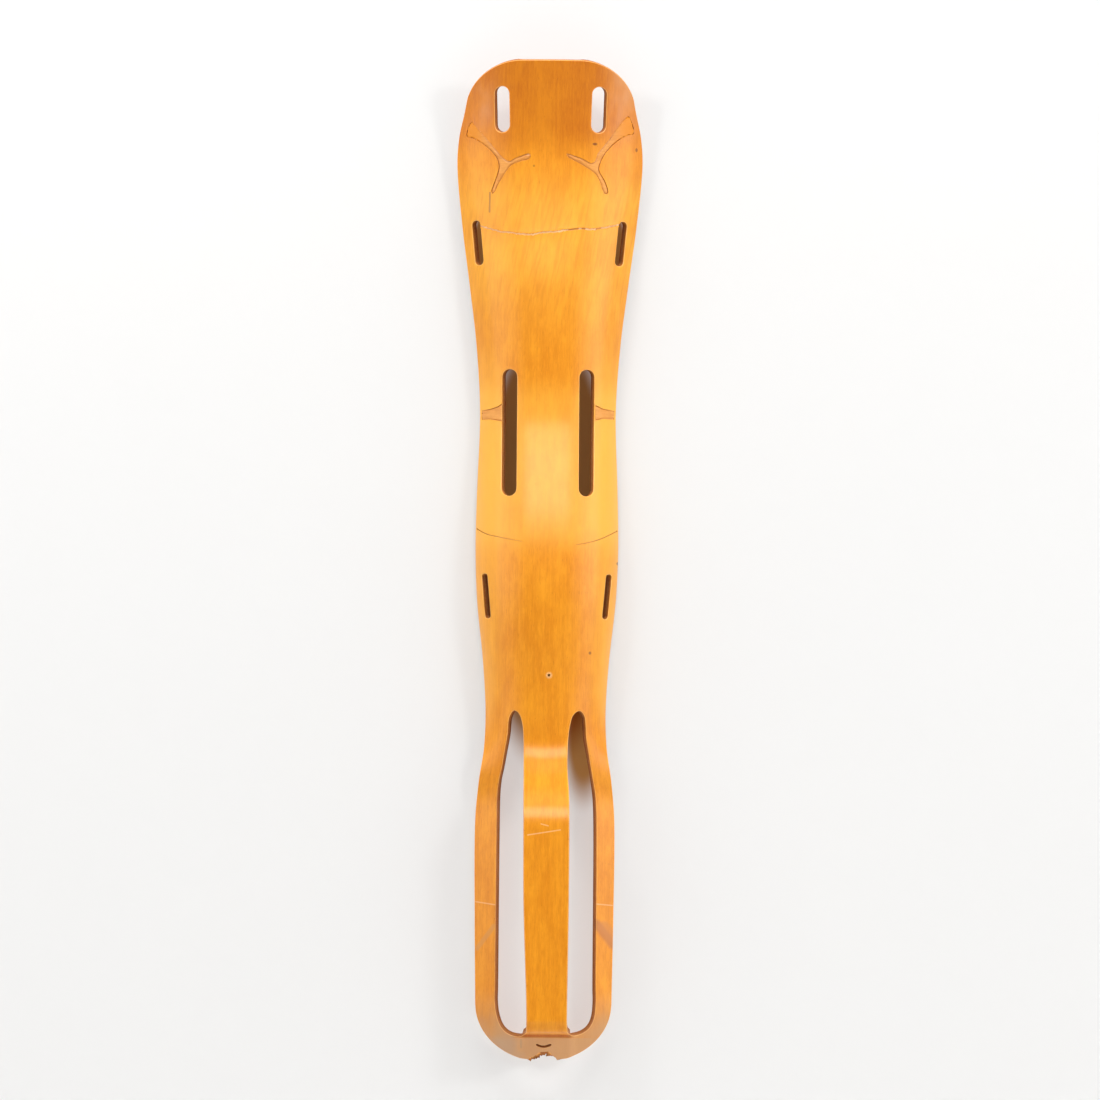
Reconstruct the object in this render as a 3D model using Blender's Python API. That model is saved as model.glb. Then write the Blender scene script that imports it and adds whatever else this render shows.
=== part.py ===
"""Moulded plywood leg splint, hung on a wall with the outside of the curve facing forward.

Five veneers are pressed over one mould: an outer face, a crossband, a core, a second crossband and an
inner face.  All five share one flat pattern, which is cut once, triangulated once, and then pressed
onto the mould at each veneer's own depth.  A gap stands for each glue line.

Lengths are in millimetres until a point is made, and the model is in metres.  X runs across the
splint, Z runs from the heel end up to the thigh end, and depth is measured from the wall, along -Y.
"""

import math
from bisect import bisect_left

import bpy
from mathutils import Vector
from mathutils.geometry import delaunay_2d_cdt

MM = 0.001
COLLECTION = "moulded_leg_splint"

# ---- driving dimensions ------------------------------------------------------------------------
LENGTH = 1067.0            # overall height of the splint
HANG_HEIGHT = 1036.0       # height at which the thigh end slots hang on the wall: the model's origin
PLY = 1.1                  # thickness of one veneer
GLUE = 0.3                 # gap that stands for a glue line
SPACING = 23.0             # longest edge of the pattern's triangles
EDGE_STEP = 24.4           # distance between the outline's points up the sides
ROW_STEP = 20.0            # distance between rows of points on the pattern
CLEARANCE = 12.65          # least distance of those points from a cut, the outline or a fold
HALF_COLUMNS = 8           # points to each side of the axis in a row
HALVINGS = 40              # steps in the search for a place on the mould
TURN_LIMIT = 1.4           # and how far past the free edges it looks

HEEL_HEIGHT = 62.0         # height of the half ellipse that rounds the heel end
CORNER_HEIGHT = 52.0       # thigh end corners: quarter ellipses this high
CORNER_WIDTH = 61.0        # and this wide
CORNER_X = 30.0            # centre of a corner, from the axis
CORNER_START = 12          # degrees into the quarter turn, where a corner meets a side
STRIP_FACE = 104.0         # depth of the flat heel strip's outer face
RAIL_TILT = math.radians(36)      # how far the heel rails and the lip lean back
RAIL_FULL = 262.0          # below this height the side walls are fully opened out into rails
RAIL_START = 374.0         # above this height they are still the sides of the trough
STRIP_LOW, STRIP_HIGH = 252.0, 352.0   # the strip swells out between these heights
STRIP_MIDDLE = (3.6, 0.4)  # x of the strip's middle at its foot and at its neck: it leans a little
STRIP_INNER = (23.5, 28.5) # the strip's form ends this far from its middle, at foot and neck,
STRIP_OUTER = (32.0, 40.0) # and the rails' form starts this far from it
FOOT_ANGLE = math.radians(84)     # slope of the strip's foot, where it turns back to the lip
FOOT_TOP_RADIUS = 14.0
FOOT_BASE_RADIUS = 10.0
FOOT_BASE = 27.0           # height where the foot meets the lip
FOLD_STEP = 6.5            # distance between rows of points down the foot
FOLD_LEFT, FOLD_RIGHT, FOLD_COUNT = -23.8, 31.0, 5

# (height, half width across the front)
HALF_WIDTH = [(0, 73.2), (64, 73.4), (150, 74.6), (255, 75), (301, 71.2), (335, 66.1), (374, 64.5),
              (429, 67.7), (493, 74.4), (548, 76.5), (610, 75.4), (693, 73), (764, 77.2), (828, 85),
              (892, 93.5), (955, 99.4), (987, 97.6), (1016, 91.4), (1067, 82)]
# (height, depth of the outer face on the axis)
TROUGH_DEPTH = [(250, 50), (300, 52.5), (349, 56), (374, 58), (410, 61), (455, 66), (500, 69.5),
                (545, 69.5), (580, 67), (620, 61.3), (660, 55.4), (690, 52.6), (730, 54.5), (780, 58.3),
                (830, 60.8), (880, 61), (930, 61.8), (975, 65.5), (1020, 73.5), (1067, 84)]
# (height, depth of the outer face at its free edge)
EDGE_DEPTH = [(0, 15), (120, 15), (250, 13), (335, 9), (410, 4.6), (480, 1.9), (620, 1.6), (690, 2.4),
              (770, 4), (850, 5.6), (900, 7.5), (950, 12.5), (975, 17), (1000, 24.5), (1030, 38), (1067, 57)]

# Cut-outs, as (x, height) on the front.  A slot is (top, bottom, width across the front).
SLOTS = [((52.1, 1031.6), (51.2, 998.5), 15.0),      # thigh end
         ((78.4, 893.5), (74.8, 855.0), 8.6),        # thigh, on the sides
         ((41.3, 731.5), (41.3, 612.5), 15.6),       # knee, long
         ((66.5, 518.5), (62.8, 477.0), 6.0)]        # calf, on the sides
LIP_SLOT = ((-6.2, 18.6), (7.2, 18.6), 2.6)
HEEL_WINDOWS = [
    [(-33.8, 376), (-38.6, 369), (-40.6, 350), (-43.3, 333), (-46, 316), (-49.3, 300), (-51, 283),
     (-51.4, 262), (-51.8, 80), (-51.9, 66), (-50.2, 52), (-45.6, 39.3), (-40, 32.8), (-33.5, 29.4),
     (-27, 28.4), (-22.3, 29.8), (-19.1, 33.6), (-18.3, 44), (-18.6, 67), (-22.3, 174), (-23.1, 272), (-23.6, 334),
     (-24.2, 352), (-25.6, 364), (-29, 373)],
    [(36.4, 376), (41.4, 370), (42.6, 360), (43.4, 346), (45.5, 334), (48.1, 318), (51.1, 301),
     (53.7, 285), (55, 265), (55.6, 79), (55.9, 66), (54.9, 52), (52.4, 43), (48.5, 36.8), (43.4, 32.9),
     (37.5, 30.4), (32.5, 29.8), (28.6, 31.4), (26.2, 35.6), (25, 44), (24.9, 67), (25.8, 174), (25.3, 289), (23.8, 315),
     (23.8, 330), (25, 351), (26.6, 362), (30, 372)]]
# Broken bottom edge, left to right.
NOTCH = [(-15, 2.4), (-12.4, 4.8), (-7.1, 7.1), (-2.7, 10.8), (6, 11.4), (8.7, 7.7), (13.6, 5), (15.2, 2.4)]

# Darts: gaps in the outer face veneer, where it was cut so that it could take the curve.
THIGH_DARTS = [
    [(-89.5, 1009), (-80.4, 998.7), (-68.9, 985.7), (-57.4, 972), (-49.2, 963.1), (-43.5, 960.2),
     (-37.8, 963.2), (-28, 967), (-22.8, 968.3), (-20.8, 966), (-22.6, 962.6), (-32.1, 960),
     (-41, 956.2), (-45.9, 950.9), (-51.5, 941.9), (-55.5, 935.4), (-58.3, 928.9), (-60.9, 926),
     (-62.3, 928.6), (-60.3, 935.4), (-56.8, 945.2), (-54.6, 953.3), (-55.2, 959), (-58.1, 965.6),
     (-66.4, 974.6), (-75.4, 981.4), (-85.2, 986.2), (-97, 989)],
    [(17.2, 968.4), (26.2, 966.2), (35.9, 962.6), (43.4, 958.8), (47.9, 961.2), (50.3, 968.9),
     (55.4, 975.4), (61.9, 983.5), (69, 994.2), (78, 1005.7), (87.4, 1013.5), (95.6, 993),
     (83, 989.7), (74, 984.7), (65.1, 976.9), (58.2, 968.4), (53.4, 959.1), (52.2, 951.8),
     (58.4, 940.5), (61.6, 932.3), (61.9, 927.4), (58, 926.9), (53.8, 937.1), (50.2, 945.3),
     (45.4, 950), (37.4, 954.8), (28.7, 959.8), (19.4, 964.4)]]
KNEE_DARTS = [
    [(-76, 695.2), (-61, 697.4), (-53.5, 700), (-48.6, 703.4), (-48.6, 683.8), (-61.8, 686.2), (-76, 686)],
    [(49.6, 702.6), (58.7, 698.4), (75, 696.2), (75, 686.8), (58.8, 687.6), (49.6, 685.4)]]

VENEERS = [  # name, colour, roughness, has darts
    ("outer_face_veneer", (0.80, 0.42, 0.10, 1), 0.32, True),
    ("outer_crossband_veneer", (0.62, 0.28, 0.11, 1), 0.55, False),
    ("core_veneer", (0.72, 0.45, 0.20, 1), 0.60, False),
    ("inner_crossband_veneer", (0.62, 0.28, 0.11, 1), 0.55, False),
    ("inner_face_veneer", (0.66, 0.34, 0.10, 1), 0.38, False)]


# ---- curves ------------------------------------------------------------------------------------
def smooth(stations, at):
    """Height of a smooth curve through the stations (cubic, with Catmull-Rom slopes)."""
    if at <= stations[0][0]:
        return stations[0][1]
    if at >= stations[-1][0]:
        return stations[-1][1]
    i = bisect_left(stations, (at,)) - 1

    def slope(k):
        low, high = stations[max(k - 1, 0)], stations[min(k + 1, len(stations) - 1)]
        return (high[1] - low[1]) / (high[0] - low[0])

    (x0, y0), (x1, y1) = stations[i], stations[i + 1]
    step = x1 - x0
    s = (at - x0) / step
    return (y0 * (1 + 2 * s) * (1 - s) ** 2 + slope(i) * step * s * (1 - s) ** 2
            + y1 * s * s * (3 - 2 * s) + slope(i + 1) * step * s * s * (s - 1))


def fade(low, high, at):
    """0 below low, 1 above high, with a smooth rise between them."""
    s = min(max((at - low) / (high - low), 0.0), 1.0)
    return s * s * s * (10 - 15 * s + 6 * s * s)


def mix(a, b, share):
    return a + (b - a) * share


# ---- the mould ---------------------------------------------------------------------------------
def lip_depth(x, z):
    """Depth of the tilted band that follows the outline: the two rails and the lip."""
    half = smooth(HALF_WIDTH, z)
    if z >= HEEL_HEIGHT:
        inward = half - abs(x)
    else:
        reach = math.hypot(x, HEEL_HEIGHT - z)
        inward = reach / math.hypot(x / half, 1 - z / HEEL_HEIGHT) - reach
    return smooth(EDGE_DEPTH, z) + inward * math.tan(RAIL_TILT)


def foot_depth(z):
    """Depth of the strip's foot: a round shoulder, a steep run, and a round crease at the lip."""
    low, steep = RAIL_TILT, FOOT_ANGLE
    base = lip_depth(0, FOOT_BASE)
    crease_rise = FOOT_BASE_RADIUS * (math.sin(steep) - math.sin(low))
    crease_depth = FOOT_BASE_RADIUS * (math.cos(low) - math.cos(steep))
    shoulder_depth = FOOT_TOP_RADIUS * (1 - math.cos(steep))
    run_depth = STRIP_FACE - base - crease_depth - shoulder_depth
    run_top = FOOT_BASE + crease_rise + run_depth / math.tan(steep)
    if z <= FOOT_BASE:
        return lip_depth(0, z)
    if z <= FOOT_BASE + crease_rise:
        sine = math.sin(low) + (z - FOOT_BASE) / FOOT_BASE_RADIUS
        return base + FOOT_BASE_RADIUS * (math.cos(low) - math.sqrt(1 - sine * sine))
    if z <= run_top:
        return base + crease_depth + (z - FOOT_BASE - crease_rise) * math.tan(steep)
    sine = math.sin(steep) - (z - run_top) / FOOT_TOP_RADIUS
    if sine > 0:
        return STRIP_FACE - FOOT_TOP_RADIUS * (1 - math.sqrt(1 - sine * sine))
    return STRIP_FACE


def spine_depth(z):
    """Depth of the outer face along the middle of the splint."""
    if z < (STRIP_LOW + HEEL_HEIGHT) / 2:
        return foot_depth(z)
    return mix(STRIP_FACE, smooth(TROUGH_DEPTH, z), fade(STRIP_LOW, STRIP_HIGH, z))


def section(z):
    """Half width, tangent angle at the free edge, and how far the section has opened into rails."""
    half = smooth(HALF_WIDTH, z)
    angle = 2 * math.atan((smooth(TROUGH_DEPTH, z) - smooth(EDGE_DEPTH, z)) / half)
    return half, angle, 1 - fade(RAIL_FULL, RAIL_START, z)


def strip_share(x, z):
    """1 on the heel strip, 0 on the rails, with a smooth change between them."""
    up = min(z / STRIP_HIGH, 1)
    return 1 - fade(mix(*STRIP_INNER, up), mix(*STRIP_OUTER, up), abs(x - mix(*STRIP_MIDDLE, up)))


def across(t, z):
    """Distance from the axis of the point that lies t of the way round the section."""
    half, angle, opened = section(z)
    return mix(half * math.sin(angle * t) / math.sin(angle), half * t, opened)


def mould(t, z):
    """Point of the outer face: t is -1 to 1 round the section, z is the height."""
    half, angle, opened = section(z)
    x = across(t, z)
    drop = half / math.sin(angle) * (1 - math.cos(angle * t)) * (1 - opened)
    side = mix(smooth(TROUGH_DEPTH, z) - drop, lip_depth(x, z), opened) if opened else \
        smooth(TROUGH_DEPTH, z) - drop
    return Vector((x, -mix(side, spine_depth(z) - drop, strip_share(x, z)), z))


def outward(t, z, dt=0.004, dz=0.2):
    """Unit normal of the mould, pointing out of the trough."""
    round_section = mould(t + dt, z) - mould(t - dt, z)
    up = mould(t, z + dz) - mould(t, z - dz)
    return round_section.cross(up).normalized()


def turn(x, z):
    """The t of the point that is seen from the front at x."""
    low, high = -TURN_LIMIT, TURN_LIMIT
    for _ in range(HALVINGS):
        t = (low + high) / 2
        if across(t, z) < x:
            low = t
        else:
            high = t
    return t


# ---- the flat pattern --------------------------------------------------------------------------
def half_girth(z):
    """Length round the section from the axis to the free edge."""
    half, angle, opened = section(z)
    return mix(half * angle / math.sin(angle), half, opened)


def flat(x, z):
    """Place on the flat pattern of the point seen from the front at (x, z)."""
    return turn(x, z) * half_girth(z), z


def refined(points, closed=True):
    """The same path on the pattern, with no edge longer than SPACING."""
    path = []
    for i, start in enumerate(points if closed else points[:-1]):
        end = points[(i + 1) % len(points)]
        (u0, v0), (u1, v1) = flat(*start), flat(*end)
        count = max(1, math.ceil(math.hypot(u1 - u0, v1 - v0) / SPACING - 0.01))
        for k in range(count):
            path.append((mix(start[0], end[0], k / count), mix(start[1], end[1], k / count)))
    return path if closed else path + [points[-1]]


def folds():
    """Rows of points across the strip's foot, close enough together to follow its bends."""
    rows, z, last = [], FOOT_BASE, None
    while z < HEEL_HEIGHT and spine_depth(z) < STRIP_FACE:
        here = Vector((z, spine_depth(z)))
        if last is None or (here - last).length > FOLD_STEP:
            rows.append([(mix(FOLD_LEFT, FOLD_RIGHT, k / FOLD_COUNT), z) for k in range(FOLD_COUNT + 1)])
            last = here
        z += 0.05
    return rows


def outline():
    """Outer edge of the splint, counter-clockwise from the broken heel end."""
    right = [(HALF_WIDTH[0][1] * math.sin(a), HEEL_HEIGHT * (1 - math.cos(a)))
             for a in (math.radians(d) for d in (20, 30, 40, 50, 60, 70, 80))]
    top = LENGTH - CORNER_HEIGHT
    joint = top + CORNER_HEIGHT * math.sin(math.radians(CORNER_START))
    right += [(smooth(HALF_WIDTH, z), z) for z in
              [HEEL_HEIGHT + EDGE_STEP * k for k in range(int((joint - HEEL_HEIGHT) / EDGE_STEP) + 1)]]
    right += [(CORNER_X + CORNER_WIDTH * math.cos(a), top + CORNER_HEIGHT * math.sin(a))
              for a in (math.radians(d) for d in range(CORNER_START, 91, 6))]
    left = [(-x, z) for x, z in reversed(right)]
    return refined(NOTCH + right + left)


def slot(top, bottom, width):
    """A slot with round ends, whose ends' centres are given."""
    path = []
    lean = math.atan2(top[1] - bottom[1], top[0] - bottom[0])
    for centre, start in ((top, lean - math.pi / 2), (bottom, lean + math.pi / 2)):
        for k in range(5):
            a = start + math.pi * k / 4
            path.append((centre[0] + width / 2 * math.cos(a), centre[1] + width / 2 * math.sin(a)))
    return refined(path)


def holes():
    """Every opening that goes through all five veneers."""
    cuts = [refined(window) for window in HEEL_WINDOWS] + [slot(*LIP_SLOT)]
    for top, bottom, width in SLOTS:
        for side in (-1, 1):
            cuts.append(slot((side * top[0], top[1]), (side * bottom[0], bottom[1]), width))
    return cuts


def inside(point, loop):
    """Whether a pattern point is inside a loop of pattern points."""
    found = False
    for (u0, v0), (u1, v1) in zip(loop, loop[1:] + loop[:1]):
        if (v0 > point[1]) != (v1 > point[1]) and point[0] < u0 + (point[1] - v0) / (v1 - v0) * (u1 - u0):
            found = not found
    return found


def gap_to(point, loop):
    """Distance from a pattern point to the nearest edge of a loop."""
    nearest = 1e9
    for (u0, v0), (u1, v1) in zip(loop, loop[1:] + loop[:1]):
        du, dv = u1 - u0, v1 - v0
        s = min(max(((point[0] - u0) * du + (point[1] - v0) * dv) / (du * du + dv * dv), 0), 1)
        nearest = min(nearest, math.hypot(point[0] - u0 - s * du, point[1] - v0 - s * dv))
    return nearest


def cut_pattern():
    """Triangulate the pattern once: its points, its triangles, and the triangles inside a dart."""
    edge = [flat(*p) for p in outline()]
    cuts = [[flat(*p) for p in cut] for cut in holes()]
    darts = [[flat(*p) for p in refined(dart)] for dart in THIGH_DARTS + KNEE_DARTS]
    loops = [edge] + cuts + darts

    points, seams = [], []
    for loop in loops:
        first = len(points)
        points += loop
        seams += [(first + i, first + (i + 1) % len(loop)) for i in range(len(loop))]
    for fold in folds():
        first = len(points)
        points += [flat(*p) for p in fold]
        seams += [(first + i, first + i + 1) for i in range(len(fold) - 1)]
        loops.append([flat(*fold[0]), flat(*fold[-1])])

    for row in range(1, int(LENGTH / ROW_STEP) + 1):
        for column in range(-HALF_COLUMNS, HALF_COLUMNS + 1):
            spot = ((column + row % 2 / 2) * SPACING, row * ROW_STEP)
            if inside(spot, edge) and not any(inside(spot, cut) for cut in cuts):
                if min(gap_to(spot, loop) for loop in loops) > CLEARANCE:
                    points.append(spot)

    spots, _, faces, *_ = delaunay_2d_cdt([Vector(p) for p in points], seams, [], 0, 1e-4)
    kept, in_dart = [], set()
    for face in faces:
        middle = sum((spots[i] for i in face), Vector((0, 0))) / len(face)
        if inside(middle, edge) and not any(inside(middle, cut) for cut in cuts):
            if any(inside(middle, dart) for dart in darts):
                in_dart.add(len(kept))
            kept.append(tuple(face))
    return spots, kept, in_dart


# ---- building ----------------------------------------------------------------------------------
def material(name, colour, roughness):
    made = bpy.data.materials.new(name)
    made.use_nodes = True
    shader = made.node_tree.nodes["Principled BSDF"]
    shader.inputs["Base Color"].default_value = colour
    shader.inputs["Roughness"].default_value = roughness
    shader.inputs["Metallic"].default_value = 0.0
    made.diffuse_color = colour
    return made


def press(name, places, faces, depth, look, collection, hung):
    """Press the pattern onto the mould as one veneer, whose outer side is this deep in the sheet.

    Both sides follow the mould's own normals, so neighbouring veneers keep an even glue line where
    the sheet bends sharply, which a Solidify of the faceted surface doesn't.
    """
    used = sorted({i for face in faces for i in face})
    index = {old: new for new, old in enumerate(used)}
    count = len(used)
    points = []
    for side in (depth, depth + PLY):
        points += [(mould(t, z) - outward(t, z) * side) * MM for t, z in (places[i] for i in used)]
    front = [tuple(index[i] for i in face) for face in faces]
    back = [tuple(i + count for i in reversed(face)) for face in front]
    edges = {edge for face in front for edge in zip(face, face[1:] + face[:1])}
    rim = [(b, a, a + count, b + count) for a, b in edges if (b, a) not in edges]

    mesh = bpy.data.meshes.new(name)
    mesh.from_pydata(points, [], front + back + sorted(rim))
    mesh.shade_smooth()
    mesh.set_sharp_from_angle(angle=math.radians(40))
    mesh.materials.append(look)
    veneer = bpy.data.objects.new(name, mesh)
    veneer.parent = hung
    collection.objects.link(veneer)


def build():
    for old in list(bpy.data.objects):
        bpy.data.objects.remove(old, do_unlink=True)
    collection = bpy.data.collections.new(COLLECTION)
    bpy.context.scene.collection.children.link(collection)
    hung = bpy.data.objects.new("splint_hung_at_its_slots", None)
    hung.location.z = -HANG_HEIGHT * MM
    collection.objects.link(hung)

    spots, faces, in_dart = cut_pattern()
    places = []
    for u, z in spots:
        places.append((u / half_girth(z), z))
    darted = [face for i, face in enumerate(faces) if i not in in_dart]
    for layer, (name, colour, roughness, has_darts) in enumerate(VENEERS):
        press(name, places, darted if has_darts else faces, layer * (PLY + GLUE),
              material(name, colour, roughness), collection, hung)


build()
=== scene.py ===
"""Moulded plywood leg splint hung on a pale wall: the finished looks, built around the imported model.

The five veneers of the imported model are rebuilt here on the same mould, finely enough to show eased
edges, darts, cracks and a torn heel.  Lengths are in millimetres in the mould's own frame, whose z is
0 at the heel end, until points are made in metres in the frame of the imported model.
"""

import math

import bpy
import numpy as np
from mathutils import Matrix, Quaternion, Vector
from mathutils.geometry import delaunay_2d_cdt


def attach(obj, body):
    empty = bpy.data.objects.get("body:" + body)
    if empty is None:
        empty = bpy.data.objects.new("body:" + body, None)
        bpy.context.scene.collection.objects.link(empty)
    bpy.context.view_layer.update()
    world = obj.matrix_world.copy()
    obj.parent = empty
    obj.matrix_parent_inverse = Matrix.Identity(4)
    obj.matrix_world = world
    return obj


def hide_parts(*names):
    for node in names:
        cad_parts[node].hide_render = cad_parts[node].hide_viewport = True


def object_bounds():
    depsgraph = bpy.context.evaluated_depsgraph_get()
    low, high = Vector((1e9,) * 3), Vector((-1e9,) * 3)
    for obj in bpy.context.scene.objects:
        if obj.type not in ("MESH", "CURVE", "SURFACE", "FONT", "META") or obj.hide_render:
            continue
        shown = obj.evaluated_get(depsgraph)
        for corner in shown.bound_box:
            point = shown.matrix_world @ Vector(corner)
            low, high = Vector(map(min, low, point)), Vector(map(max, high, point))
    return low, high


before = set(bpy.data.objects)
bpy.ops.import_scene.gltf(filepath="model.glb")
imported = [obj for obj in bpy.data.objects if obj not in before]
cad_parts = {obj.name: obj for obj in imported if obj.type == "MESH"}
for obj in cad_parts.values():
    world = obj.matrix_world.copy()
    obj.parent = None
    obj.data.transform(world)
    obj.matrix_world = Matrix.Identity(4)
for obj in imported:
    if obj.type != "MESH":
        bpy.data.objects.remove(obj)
CAD_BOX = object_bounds()

MM = 0.001
LENGTH = 1067.0                       # overall height of the splint
HEEL_Z = CAD_BOX[1].z / MM - LENGTH   # height of the mould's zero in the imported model's frame

# ---- the mould, as in part.py --------------------------------------------------------------------
HEEL_HEIGHT = 62.0
CORNER_HEIGHT = 52.0
CORNER_WIDTH = 61.0
CORNER_X = 30.0
CORNER_START = 12
STRIP_FACE = 104.0
RAIL_TILT = math.radians(36)
RAIL_FULL = 262.0
RAIL_START = 374.0
STRIP_LOW, STRIP_HIGH = 252.0, 352.0
STRIP_MIDDLE = (3.6, 0.4)
STRIP_INNER = (23.5, 28.5)
STRIP_OUTER = (32.0, 40.0)
FOOT_ANGLE = math.radians(84)
FOOT_TOP_RADIUS = 14.0
FOOT_BASE_RADIUS = 10.0
FOOT_BASE = 27.0

HALF_WIDTH = [(0, 73.2), (64, 73.4), (150, 74.6), (255, 75), (301, 71.2), (335, 66.1), (374, 64.5),
              (429, 67.7), (493, 74.4), (548, 76.5), (610, 75.4), (693, 73), (764, 77.2), (828, 85),
              (892, 93.5), (955, 99.4), (987, 97.6), (1016, 91.4), (1067, 82)]
TROUGH_DEPTH = [(250, 50), (300, 52.5), (349, 56), (374, 58), (410, 61), (455, 66), (500, 69.5),
                (545, 69.5), (580, 67), (620, 61.3), (660, 55.4), (690, 52.6), (730, 54.5), (780, 58.3),
                (830, 60.8), (880, 61), (930, 61.8), (975, 65.5), (1020, 73.5), (1067, 84)]
EDGE_DEPTH = [(0, 15), (120, 15), (250, 13), (335, 9), (410, 4.6), (480, 1.9), (620, 1.6), (690, 2.4),
              (770, 4), (850, 5.6), (900, 7.5), (950, 12.5), (975, 17), (1000, 24.5), (1030, 38),
              (1067, 57)]

SLOTS = [((52.1, 1031.6), (51.2, 998.5), 15.0),
         ((78.4, 893.5), (74.8, 855.0), 8.6),
         ((41.3, 731.5), (41.3, 612.5), 15.6),
         ((66.5, 518.5), (62.8, 477.0), 6.0)]
LIP_SLOT = [(-7.6, 19.7), (-3.6, 17.8), (0.6, 17.1), (4.9, 17.9), (9.1, 19.8)]
HEEL_WINDOWS = [
    [(-33.8, 376), (-38.6, 369), (-40.6, 350), (-43.3, 333), (-46, 316), (-49.3, 300), (-51, 283),
     (-51.4, 262), (-51.8, 80), (-51.9, 66), (-50.2, 52), (-45.6, 39.3), (-40, 32.8), (-33.5, 29.4),
     (-27, 28.4), (-22.3, 29.8), (-19.1, 33.6), (-18.3, 44), (-18.6, 67), (-22.3, 174), (-23.1, 272),
     (-23.6, 334), (-24.2, 352), (-25.6, 364), (-29, 373)],
    [(36.4, 376), (41.4, 370), (42.6, 360), (43.4, 346), (45.5, 334), (48.1, 318), (51.1, 301),
     (53.7, 285), (55, 265), (55.6, 79), (55.9, 66), (54.9, 52), (52.4, 43), (48.5, 36.8), (43.4, 32.9),
     (37.5, 30.4), (32.5, 29.8), (28.6, 31.4), (26.2, 35.6), (25, 44), (24.9, 67), (25.8, 174),
     (25.3, 289), (23.8, 315), (23.8, 330), (25, 351), (26.6, 362), (30, 372)]]
NOTCH = [(-15, 2.4), (-12.4, 4.8), (-7.1, 7.1), (-2.7, 10.8), (6, 11.4), (8.7, 7.7), (13.6, 5), (15.2, 2.4)]

# The thigh and knee darts end a little short of the outline, where the sheet was sanded down past them.
THIGH_DARTS = [
    [(-84.2, 1003), (-80.4, 998.7), (-68.9, 985.7), (-57.4, 972), (-49.2, 963.1), (-43.5, 960.2),
     (-37.8, 963.2), (-28, 967), (-22.8, 968.3), (-20.8, 966), (-22.6, 962.6), (-32.1, 960),
     (-41, 956.2), (-45.9, 950.9), (-51.5, 941.9), (-55.5, 935.4), (-58.3, 928.9), (-60.9, 926),
     (-62.3, 928.6), (-60.3, 935.4), (-56.8, 945.2), (-54.6, 953.3), (-55.2, 959), (-58.1, 965.6),
     (-66.4, 974.6), (-75.4, 981.4), (-85.2, 986.2), (-89.5, 987.4)],
    [(17.2, 968.4), (26.2, 966.2), (35.9, 962.6), (43.4, 958.8), (47.9, 961.2), (50.3, 968.9),
     (55.4, 975.4), (61.9, 983.5), (69, 994.2), (78, 1005.7), (83.4, 1010.2), (89.3, 991.6),
     (83, 989.7), (74, 984.7), (65.1, 976.9), (58.2, 968.4), (53.4, 959.1), (52.2, 951.8),
     (58.4, 940.5), (61.6, 932.3), (61.9, 927.4), (58, 926.9), (53.8, 937.1), (50.2, 945.3),
     (45.4, 950), (37.4, 954.8), (28.7, 959.8), (19.4, 964.4)]]
KNEE_DARTS = [
    [(-70.8, 695.8), (-61, 697.4), (-53.5, 700), (-48.6, 703.4), (-48.6, 683.8), (-61.8, 686.2),
     (-70.8, 686)],
    [(49.6, 702.6), (58.7, 698.4), (70.8, 696.6), (70.8, 687.1), (58.8, 687.6), (49.6, 685.4)]]

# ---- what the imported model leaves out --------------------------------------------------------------
# Slits in the outer veneer over the calf, as a path and its widths at the two ends.
CALF_SLITS = [
    ([(-75.5, 569.6), (-64.7, 563.9), (-52.3, 560.9), (-40.2, 558.5), (-26.1, 556.2)], (1.1, 0.35)),
    ([(75.5, 568.4), (62.3, 561.8), (48.9, 556.8), (29.4, 552.6)], (1.2, 0.35))]
# The tear across the thigh, from slot to slot, and the stretches of it that stand open.
TEAR = [(-76.2, 893), (-73.1, 892.1), (-57.1, 887.1), (-40.1, 886.3), (-31.5, 885.2), (-18.8, 884.3),
        (-7.1, 886.1), (4.6, 886), (18, 888.2), (32.2, 889.7), (48.8, 889.1), (62.4, 892.1),
        (76.2, 895)]
TEAR_OPEN = [(20, 31), (34, 39), (49, 56)]
TEAR_LIFT = 0.32                      # the most that its edges are lifted
NAIL = (3.1, 414.2, 1.5)              # centre and radius of the nail hole, through two veneers

PLIES = 5
SHEET = 6.7                           # thickness of the whole sheet
PLY = SHEET / PLIES
GRID = 4.0                            # spacing of the pattern's points
EDGE_GRID = 2.6                       # spacing along free edges
DART_GRID = 1.5                       # spacing along and inside darts
THIGH_FLUSH = (64, 82)                # the thigh darts fade out between these distances from the axis
KNEE_FLUSH = (64, 70.4)               # and the knee darts between these
DART_SWELL = 1.15                     # how far the crossband swells into a dart
NOTCH_GRID = 1.6                      # spacing along the break at the heel
LIP_SLOT_WIDTH = 2.1
SPOT_GAP = 2.9                        # the pattern's inner points keep this far from every cut
SPOT_JITTER = 0.25                    # and lie up to this far off their regular places
DART_GAP = 0.7                        # points inside a dart keep this far from its edge
DART_EDGE_GAP = 0.9                   # and this far from a free edge
ON_CUT = 0.01                         # a point this near a cut lies on it
# The strip's foot has rows of points of its own, because its bends are tighter than the grid.
FOOT_ROW_STEP = 2.2                   # distance between the rows, up the foot
FOOT_ROW = np.linspace(-23.8, 31.0, 21)
FOOT_ROW_GAP = 1.6                    # distance between a row's ends and the heel windows
FOOT_SIDES = (-27, 34.5)              # no other points lie between these, beside the rows
TURN_LIMIT = 1.4                      # how far round the section, and in how many halvings, turn() looks
HALVINGS = 36
SEED = 7
# How far each veneer is chipped back from the broken edge at the heel, at least and at most.  The inner
# ones hang out past it.
CHIPPED = [(0.0, 1.4), (-4.0, -0.8), (-6.5, -1.8), (-8.0, -3.0), (-8.0, -2.6)]

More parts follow.
